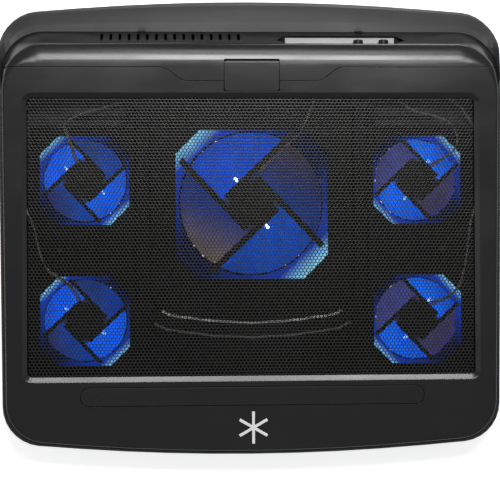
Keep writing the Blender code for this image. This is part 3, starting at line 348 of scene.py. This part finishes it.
def hex_web(first, last, columns, rows):
    """The web around the holes of some columns: its faces, and the number of each (column, row, corner)."""
    index, faces = {}, []

    def corner(i, j, k):
        return index.setdefault((i, j, k), len(index))

    for j in range(rows):
        right, left = (1, 0) if j % 2 else (0, -1)
        for i in range(first, last):
            has_right = i + 1 < columns
            has_above = j + 1 < rows
            has_upper_right = has_above and i + right < columns
            has_upper_left = has_above and i + left >= 0
            a = [corner(i, j, k) for k in range(6)]
            if has_right:
                faces.append((a[5], corner(i + 1, j, 3), corner(i + 1, j, 2), a[0]))
            if has_upper_right:
                faces.append((a[0], corner(i + right, j + 1, 4), corner(i + right, j + 1, 3), a[1]))
            if has_upper_left:
                faces.append((a[1], corner(i + left, j + 1, 5), corner(i + left, j + 1, 4), a[2]))
            if has_upper_right and has_upper_left:
                faces.append((a[1], corner(i + right, j + 1, 3), corner(i + left, j + 1, 5)))
            if has_right and has_upper_right:
                faces.append((a[0], corner(i + 1, j, 2), corner(i + right, j + 1, 4)))
    return index, faces


def make_honeycomb(material):
    """Staggered six-sided holes. Each hole's rim is at full height behind it and lowest in front of it, by
    HEX_SLOPE, so that the top of the web faces slightly to the rear and catches the rear light."""
    low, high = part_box("mesh_grille")
    columns = int((high.x - low.x) / HEX_PITCH) - 1
    rows = int((high.y - low.y) / HEX_ROW) - 1
    start_x = (low.x + high.x) / 2.0 - (columns - 0.5) * HEX_PITCH / 2.0
    start_y = (low.y + high.y) / 2.0 - (rows - 1) * HEX_ROW / 2.0
    squeeze = HEX_ROW / (HEX_PITCH * math.sqrt(3.0) / 2.0)
    shape = [(HEX_RADIUS * math.cos(a), HEX_RADIUS * squeeze * math.sin(a)) for a in HEX_TURNS]
    dips = [HEX_SLOPE * (1.0 - math.sin(a)) / 2.0 for a in HEX_TURNS]
    halves = (("honeycomb_left", 0, columns // 2), ("honeycomb_right", columns // 2, columns))
    for name, first, last in halves:
        index, faces = hex_web(first, last, columns, rows)
        top, bottom = [], []
        for i, j, k in index:
            x = start_x + i * HEX_PITCH + (j % 2) * HEX_PITCH / 2.0 + shape[k][0]
            y = start_y + j * HEX_ROW + shape[k][1]
            top.append((x, y, high.z - dips[k]))
            bottom.append((x, y, low.z))
        edges = {edge for face in faces for edge in zip(face, face[1:] + face[:1])}
        count = len(top)
        sides = [(q, p, p + count, q + count) for p, q in edges if (q, p) not in edges]
        under = [tuple(v + count for v in reversed(face)) for face in faces]
        mesh = bpy.data.meshes.new(name)
        mesh.from_pydata(top + bottom, [], faces + under + sides)
        mesh.validate()
        mesh.update()
        place_piece(name, mesh, material, "mesh_grille")


# ---------------------------------------------------------------- lit fans

# hand: which way the struts run round the hub. offset: a strut's distance from the hub's axis, as a share of
# the frame's half width. lights: the colour of the glow painted in the four regions between the struts, upper
# left, lower right, and the two others. fades: the painted colours that those last two turn into, the third
# region away from the hub and the fourth one towards it.
Fan = namedtuple("Fan", "hand offset blades lights fades")
SMALL_LEFT = Fan(
    -1, 0.388, 9,
    ((0.0, 0.13, 1.1), (0.0, 0.14, 1.15), (0.012, 0.05, 0.27), (0.02, 0.035, 0.15)),
    ((0.0, 0.05, 0.42), (0.0, 0.06, 0.46)),
)
SMALL_RIGHT = Fan(
    -1, 0.388, 9,
    ((0.05, 0.06, 0.26), (0.045, 0.04, 0.12), (0.0, 0.18, 1.15), (0.0, 0.17, 1.15)),
    ((0.0, 0.12, 0.95), (0.0, 0.12, 0.95)),
)
LARGE = Fan(
    1, 0.285, 7,
    ((0.0, 0.07, 0.66), (0.0, 0.065, 0.50), (0.01, 0.03, 0.22), (0.032, 0.024, 0.032)),
    ((0.14, 0.105, 0.085), (0.005, 0.03, 0.20)),
)
FANS = {
    "rear_left": SMALL_LEFT, "front_left": SMALL_LEFT,
    "rear_right": SMALL_RIGHT, "front_right": SMALL_RIGHT, "centre": LARGE,
}
STRUT_ANGLE = math.radians(43.5)
REGION_SOFT = 0.03
FADE_ALONG = (-0.35, 0.8)
FADE_NEAR, FADE_FAR = 0.25, 0.75
# Colours and strengths of the glow painted on the rotors and frames in place of the lamps' light: painted
# shade behind the struts, a painted blue glow that grows towards the rim, a brightness that falls from hub to
# rim, and painted glows along the frame's sides and at its lit corners
PAINTED_SHADE_BEHIND_STRUTS = (0.02, 0.024, 0.05)
RIM_PAINTED_GLOW = (0.0, 0.05, 0.40)
RIM_GLOW_FROM, RIM_GLOW_FULL = 0.62, 1.0
RIM_GLOW_SHARE = 0.85
HUB_LIGHT, RIM_LIGHT = 1.16, 0.84
SIDE_PAINTED_GLOW = (0.0, 0.045, 0.55)
CORNER_PAINTED_GLOW = (0.30, 0.80, 1.0)
CORNER_FROM, CORNER_FULL = 0.96, 1.2
FAN_GRAIN = 0.01 * MM


def fan_place(name):
    """The middle of a fan's frame and half its width."""
    low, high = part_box(name + "_fan_frame")
    return (low + high) / 2.0, (high.x - low.x) / 2.0


def glow_base(name, centre, half, hand):
    """A dull dark surface, and the distances across its two pairs of struts in units of the half width."""
    s = Surface(name, (0.004, 0.006, 0.014), 0.55)
    s.set("Specular IOR Level", 0.02)
    a = STRUT_ANGLE + math.pi / 2.0
    across = []
    for nx, ny in ((math.cos(a), math.sin(a)), (-hand * math.sin(a), hand * math.cos(a))):
        dot = s.tree.nodes.new("ShaderNodeVectorMath")
        dot.operation = "DOT_PRODUCT"
        dot.inputs[1].default_value = (nx / half, ny / half, 0.0)
        s.join(s.place, dot, 0)
        across.append(s.maths("SUBTRACT", dot.outputs["Value"], (centre.x * nx + centre.y * ny) / half))
    return s, *across


def region_masks(s, u, w, offset):
    """Soft masks of the four regions between the struts."""

    def beyond(value, sign, limit):
        edge, soft = sign * limit, sign * REGION_SOFT
        return s.spread(value, 0.0, 1.0, edge - soft, edge + soft)

    return (
        s.maths("MULTIPLY", beyond(u, 1, offset), beyond(w, -1, -offset)),
        s.maths("MULTIPLY", beyond(u, -1, offset), beyond(w, 1, -offset)),
        s.maths("MULTIPLY", beyond(w, 1, offset), beyond(u, 1, -offset)),
        s.maths("MULTIPLY", beyond(w, -1, offset), beyond(u, -1, -offset)),
    )


def painted_rotor_glow(name, centre, half, fan):
    """Dark rotor plastic with the lamps' light painted on as a glow: each region between the struts has its
    own painted light, and the small fans are never darker than a painted blue glow that grows towards the rim."""
    s, u, w = glow_base(name + "_blade_glow", centre, half, fan.hand)
    reach = s.maths("SQRT", s.maths("ADD", s.maths("MULTIPLY", u, u), s.maths("MULTIPLY", w, w)))
    slant = s.maths("ADD", s.maths("MULTIPLY", w, FADE_ALONG[1]), s.maths("MULTIPLY", u, FADE_ALONG[0]))
    away = s.spread(slant, 0.0, 1.0, FADE_NEAR, FADE_FAR)
    towards = s.spread(slant, 0.0, 1.0, -FADE_FAR, -FADE_NEAR)
    sources = (*fan.lights[:2], s.mix(away, fan.lights[2], fan.fades[0]),
               s.mix(towards, fan.lights[3], fan.fades[1]))
    colour = PAINTED_SHADE_BEHIND_STRUTS
    for mask, light in zip(region_masks(s, u, w, fan.offset), sources):
        colour = s.mix(mask, colour, light)
    if name != "centre":
        rim = s.spread(reach, 0.0, RIM_GLOW_SHARE, RIM_GLOW_FROM, RIM_GLOW_FULL)
        blue = s.mix(rim, (0.0, 0.0, 0.0), RIM_PAINTED_GLOW)
        colour = s.mix(1.0, colour, blue, "LIGHTEN")
    s.feed(colour, "Emission Color")
    radial = s.spread(reach, HUB_LIGHT, RIM_LIGHT, 0.3, 0.95)
    cloud = s.spread(s.noise(55.0, 3.0, 0.5), 0.78, 1.18)
    s.feed(s.maths("MULTIPLY", radial, cloud), "Emission Strength")
    s.feed(s.spread(s.noise(25.0), 0.45, 0.62), "Roughness")
    s.grain(700.0, FAN_GRAIN, 0.3)
    return s.material


def painted_frame_glow(name, centre, half, fan):
    """The fan frame, with a glow painted on as the lamps' light: pale at the two corners by the lamps, mid
    blue along the sides, dark at the others.
    """
    s, u, w = glow_base(name + "_frame_glow", centre, half, fan.hand)
    first_lit = fan.lights[0][2] > fan.lights[2][2]
    lit = s.maths("ABSOLUTE", u if first_lit else w)
    peak = s.spread(lit, 0.0, 1.0, CORNER_FROM, CORNER_FULL)
    s.feed(s.mix(peak, SIDE_PAINTED_GLOW, CORNER_PAINTED_GLOW), "Emission Color")
    strength = s.spread(lit, 0.05, 1.0, 0.25, 1.0)
    s.feed(s.maths("MULTIPLY", strength, s.spread(s.noise(70.0), 0.75, 1.1)), "Emission Strength")
    s.feed(s.spread(s.noise(30.0), 0.4, 0.55), "Roughness")
    s.grain(600.0, FAN_GRAIN, 0.3)
    return s.material


BLADE_FOOT = 1.8 * MM
BLADE_RISE = 8.2 * MM
BLADE_ROOT = 0.8 * MM
BLADE_HALF_THICK = 1.1 * MM / 2.0
BLADE_BULGE = 0.8 * MM
BLADE_SWEEP = -0.34
BLADE_TWIST = 1.15
BLADE_SPAN = 1.12
BLADE_BLUNT = 6
BLADE_EDGE = 0.18
BLADE_ALONG, BLADE_ACROSS = 12, 10


def add_blade(bm, root, tip, foot, start, pitch):
    """One swept blade as a closed grid, twisted from its leading to its trailing edge. It overlaps the next
    one a little, so that no gap shows from above."""
    low, high = [], []
    for i in range(BLADE_ALONG + 1):
        t = i / BLADE_ALONG
        radius = root + (tip - root) * t
        low.append([])
        high.append([])
        for j in range(BLADE_ACROSS + 1):
            c = j / BLADE_ACROSS
            a = start + BLADE_SWEEP * t * t + BLADE_SPAN * pitch * c
            z = foot + BLADE_RISE * c ** BLADE_TWIST - BLADE_BULGE * math.sin(math.pi * c)
            edge = math.sqrt(max(0.0, 1.0 - (2.0 * c - 1.0) ** BLADE_BLUNT))
            middle = Vector((radius * math.cos(a), radius * math.sin(a), z))
            thick = Vector((0.0, 0.0, BLADE_HALF_THICK * max(edge, BLADE_EDGE)))
            low[-1].append(bm.verts.new(middle - thick))
            high[-1].append(bm.verts.new(middle + thick))
    for i in range(BLADE_ALONG):
        for j in range(BLADE_ACROSS):
            bm.faces.new((low[i][j], low[i][j + 1], low[i + 1][j + 1], low[i + 1][j]))
            bm.faces.new((high[i][j], high[i + 1][j], high[i + 1][j + 1], high[i][j + 1]))
    rim = [(i, 0) for i in range(BLADE_ALONG)] + [(BLADE_ALONG, j) for j in range(BLADE_ACROSS)]
    rim += [(i, BLADE_ACROSS) for i in range(BLADE_ALONG, 0, -1)]
    rim += [(0, j) for j in range(BLADE_ACROSS, 0, -1)]
    for (a, b), (c, d) in zip(rim, rim[1:] + rim[:1]):
        bm.faces.new((low[a][b], low[c][d], high[c][d], high[a][b]))


CUP_SIDES = 64
CUP_OVER_STATOR = 1.9 * MM
# Heights are above the rotor's underside. The wall's radii are measured from the cup's outside, the pin's from
# the axis. All are in mm
CUP_WALL = (
    (-1.2, 0.1), (-0.3, 0.5), (0.0, 1.2), (0.0, 11.2), (-0.3, 11.6), (-1.0, 11.6), (-1.2, 11.2), (-1.2, 1.8),
)
PIN_FOOT = ((1.4, 1.7), (1.0, 2.2))
PIN_RADIUS = 1.0 * MM
PIN_TIP_RADIUS = 0.7 * MM
PIN_TIP = 0.2 * MM


def make_rotor(name, blades, material):
    """The hub, a cup that is open at the top with a pin in its middle, and the blades round it."""
    node = name + "_fan_rotor"
    low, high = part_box(node)
    centre, _ = fan_place(name)
    tip = max(high.x - centre.x, high.y - centre.y)
    stator_low, stator_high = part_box(name + "_fan_stator")
    outer = (stator_high.x - stator_low.x) / 2.0 + CUP_OVER_STATOR
    bm = bmesh.new()
    pitch = TURN / blades
    for i in range(blades):
        add_blade(bm, outer - BLADE_ROOT, tip, low.z + BLADE_FOOT, pitch * i, pitch)
    bmesh.ops.translate(bm, verts=bm.verts, vec=(centre.x, centre.y, 0.0))
    profile = [(outer + r * MM, low.z + z * MM) for r, z in CUP_WALL]
    profile += [(r * MM, low.z + z * MM) for r, z in PIN_FOOT]
    profile += [(PIN_RADIUS, high.z - PIN_TIP), (PIN_TIP_RADIUS, high.z)]
    close_tube(bm, [
        [bm.verts.new((centre.x + radius * math.cos(t), centre.y + radius * math.sin(t), z))
         for t in (TURN * i / CUP_SIDES for i in range(CUP_SIDES))]
        for radius, z in profile
    ])
    add_piece(name + "_rotor_blades", bm, material, node)


def dress_fans(black):
    for name, fan in FANS.items():
        centre, half = fan_place(name)
        make_rotor(name, fan.blades, painted_rotor_glow(name, centre, half, fan))
        smooth_copy(name + "_fan_frame", painted_frame_glow(name, centre, half, fan))
        smooth_copy(name + "_fan_spider", black, 30.0, 0.3)


# ---------------------------------------------------------------- studio

FLOOR_REACH = 12.0
FLOOR_Z = -0.2 * MM
FLOOR_GLOW = 0.70
SKY = (0.97, 0.98, 1.0)
SKY_STRENGTH = 0.29
# Name, place, the point it faces, width and height, all in metres, and power in watts
LIGHTS = (
    ("strip_rear_high", (0.05, 0.50, 1.04), (0.0, 0.14, 0.0), (0.66, 0.24), 8.5),
    ("strip_rear_mid", (0.1, 0.755, 0.912), (0.0, 0.14, 0.0), (0.52, 0.20), 1.4),
    ("strip_rear_low", (0.0, 1.5, 0.33), (0.0, -0.12, 0.03), (0.95, 0.22), 7.0),
    ("panel_rear_right", (0.45, 1.3, 0.2), (0.1, 0.14, 0.02), (0.6, 0.3), 5.0),
    ("panel_left", (-1.6, 0.1, 0.35), (0.0, 0.0, 0.02), (1.0, 0.3), 2.5),
    ("panel_right", (1.5, 0.0, 0.4), (0.0, 0.0, 0.02), (1.0, 0.3), 0.2),
    ("roof", (0.0, 0.25, 1.6), (0.0, 0.1, 0.0), (0.6, 0.3), 0.1),
)


def make_studio():
    mesh = bpy.data.meshes.new("floor")
    corners = [(x * FLOOR_REACH, y * FLOOR_REACH, 0) for x, y in ((-1, -1), (1, -1), (1, 1), (-1, 1))]
    mesh.from_pydata(corners, [], [(0, 1, 2, 3)])
    floor = bpy.data.objects.new("floor", mesh)
    floor.location.z = FLOOR_Z
    bpy.context.scene.collection.objects.link(floor)
    s = Surface("floor_white", (0.88, 0.88, 0.88), 0.6)
    s.feed(s.mix(s.noise(3.0), (0.86, 0.86, 0.86), (0.9, 0.9, 0.9)), "Base Color")
    s.feed(s.mix(s.noise(2.0), (0.97, 0.97, 0.97), (1.0, 1.0, 1.0)), "Emission Color")
    s.set("Emission Strength", FLOOR_GLOW)
    mesh.materials.append(s.material)

    world = bpy.data.worlds.new("studio")
    world.use_nodes = True
    world.node_tree.nodes["Background"].inputs["Color"].default_value = (*SKY, 1.0)
    world.node_tree.nodes["Background"].inputs["Strength"].default_value = SKY_STRENGTH
    bpy.context.scene.world = world

    for name, place, aim, size, power in LIGHTS:
        light = bpy.data.lights.new(name, "AREA")
        light.shape = "RECTANGLE"
        light.size, light.size_y = size
        light.energy = power
        made = bpy.data.objects.new(name, light)
        made.location = place
        made.rotation_euler = (Vector(aim) - Vector(place)).to_track_quat("-Z", "Y").to_euler()
        bpy.context.scene.collection.objects.link(made)


# The photo's camera: its size and the point straight ahead of the lens in pixels, its focal length in pixels,
# and how far it leans from looking straight down
PHOTO_SIZE = (500.0, 483.0)
AHEAD = (251.7, 219.8)
FOCAL_PIXELS = 1654.0
SENSOR = 36.0
TILT_X, TILT_Y, ROLL = math.radians(3.12), math.radians(-0.71), math.radians(-0.27)
DISTANCE = 1.3
TARGET = Vector((0.0, 0.0047, 0.020))


def make_camera():
    back = Vector((-math.tan(TILT_X), math.tan(TILT_Y), 1.0)).normalized()
    side = Vector((0.0, 1.0, 0.0)).cross(back).normalized()
    up = back.cross(side)
    cos, sin = math.cos(ROLL), math.sin(ROLL)
    side, up = side * cos + up * sin, up * cos - side * sin
    data = bpy.data.cameras.new("camera")
    data.sensor_width = SENSOR
    data.lens = FOCAL_PIXELS * SENSOR / PHOTO_SIZE[0]
    data.shift_x = -(AHEAD[0] - PHOTO_SIZE[0] / 2.0) / PHOTO_SIZE[0]
    data.shift_y = (AHEAD[1] - PHOTO_SIZE[1] / 2.0) / PHOTO_SIZE[0]
    camera = bpy.data.objects.new("camera", data)
    turn = Matrix((side, up, back)).transposed().to_4x4()
    camera.matrix_world = Matrix.Translation(TARGET + back * DISTANCE) @ turn
    bpy.context.scene.collection.objects.link(camera)
    bpy.context.scene.camera = camera
    bpy.context.scene.view_settings.view_transform = "Standard"


# ---------------------------------------------------------------- whole pad

def lamp_glow(kind, colour, power):
    s = Surface("lamp_glow_" + kind, (0.8, 0.9, 1.0), 0.15)
    s.set("Emission Color", (*colour, 1.0))
    s.feed(s.spread(s.noise(300.0), 0.8 * power, 1.2 * power), "Emission Strength")
    return s.material


def build():
    make_camera()
    black, dark = (0.009, 0.009, 0.0092), (0.012, 0.012, 0.012)
    tub = moulded("tub_black", (0.012, 0.012, 0.0122), 0.46, 1100.0, 0.02, specular=0.34).material
    lid = moulded("lid_black", black, 0.20, 1500.0, 0.008).material
    housing = moulded("housing_black", black, 0.20, 1500.0, 0.008)
    duller_band(housing, gloss=0.5, dull=0.05, start=0.1385, end=0.1435)
    deck = moulded("deck_grey", (0.0022, 0.0022, 0.0022), 0.28, 1300.0, 0.02, specular=0.14).material
    gloss = moulded("gloss_black", (0.004, 0.004, 0.004), 0.34, 900.0, 0.01, specular=0.2).material
    rubber = moulded("rubber", (0.011, 0.011, 0.011), 0.6, 1600.0, 0.06, specular=0.25).material
    silver = moulded("silver", (0.36, 0.36, 0.37), 0.34, 900.0, 0.01, 0.05).material
    white = moulded("badge_white", (0.78, 0.78, 0.77), 0.36, 900.0, 0.01, 0.04).material
    board = moulded("board_green", (0.015, 0.09, 0.035), 0.45, 800.0, 0.02, 0.2).material
    steel = moulded("steel", (0.5, 0.5, 0.5), 0.32, 900.0, 0.01, metallic=1.0).material
    copper = moulded("copper", (0.5, 0.2, 0.08), 0.35, 900.0, 0.05, metallic=1.0).material
    wire = moulded("wire_grey", (0.16, 0.16, 0.16), 0.4, 900.0, 0.02).material
    wire_warm = moulded("wire_brown", (0.12, 0.085, 0.04), 0.35, 900.0, 0.02).material
    screw_black = moulded("screw_black", dark, 0.4, 900.0, 0.02).material
    mesh = moulded("mesh_black", (0.021, 0.021, 0.0195), 0.28, 2200.0, 0.02, specular=0.15).material
    # A pale grey painted on the ridge's two long slopes as a highlight
    ridge = moulded("ridge_painted_highlight", (0.6, 0.6, 0.59), 0.25, 1300.0, 0.01).material
    small_lamp = lamp_glow("small", (0.10, 0.42, 1.0), 0.9)
    large_lamp = lamp_glow("large", (0.55, 0.8, 1.0), 6.0)

    make_honeycomb(mesh)
    dress_fans(gloss)
    smooth_copy("lower_shell", tub, 10.0)
    for node in ("top_frame", "latch_tab"):
        smooth_copy(node, lid, 24.0, 0.28)
    smooth_copy("rear_housing", housing.material, 24.0)
    paint_ridge_highlight(smooth_copy("fan_deck", deck, 24.0, 0.25), ridge)
    make_grip(rubber)
    smooth_copy("badge", white, 30.0, 0.2)
    smooth_copy("control_panel", silver, 30.0, 0.3)
    for node in ("fan_button", "light_button"):
        smooth_copy(node, gloss, 40.0)
    for node in ("left_leg", "right_leg"):
        smooth_copy(node, gloss, 30.0, 0.5)
    for node in ("switch_board", "usb_board"):
        smooth_copy(node, board, 30.0, 0.1)
    for node in ("usb_a_socket", "usb_mini_socket"):
        smooth_copy(node, steel, 30.0, 0.12)
    for i in range(1, 5):
        smooth_copy("deck_screw_%d" % i, screw_black)
    for depth in ("rear", "front"):
        for side in ("left", "right"):
            smooth_copy("%s_%s_foot" % (depth, side), rubber, 30.0, 0.3)
    for name in FANS:
        smooth_copy(name + "_fan_stator", copper)
        make_wires(name, (wire, wire_warm, wire))
        for i in (1, 2):
            smooth_copy("%s_fan_lamp_%d" % (name, i), large_lamp if name == "centre" else small_lamp)
    make_studio()


build()
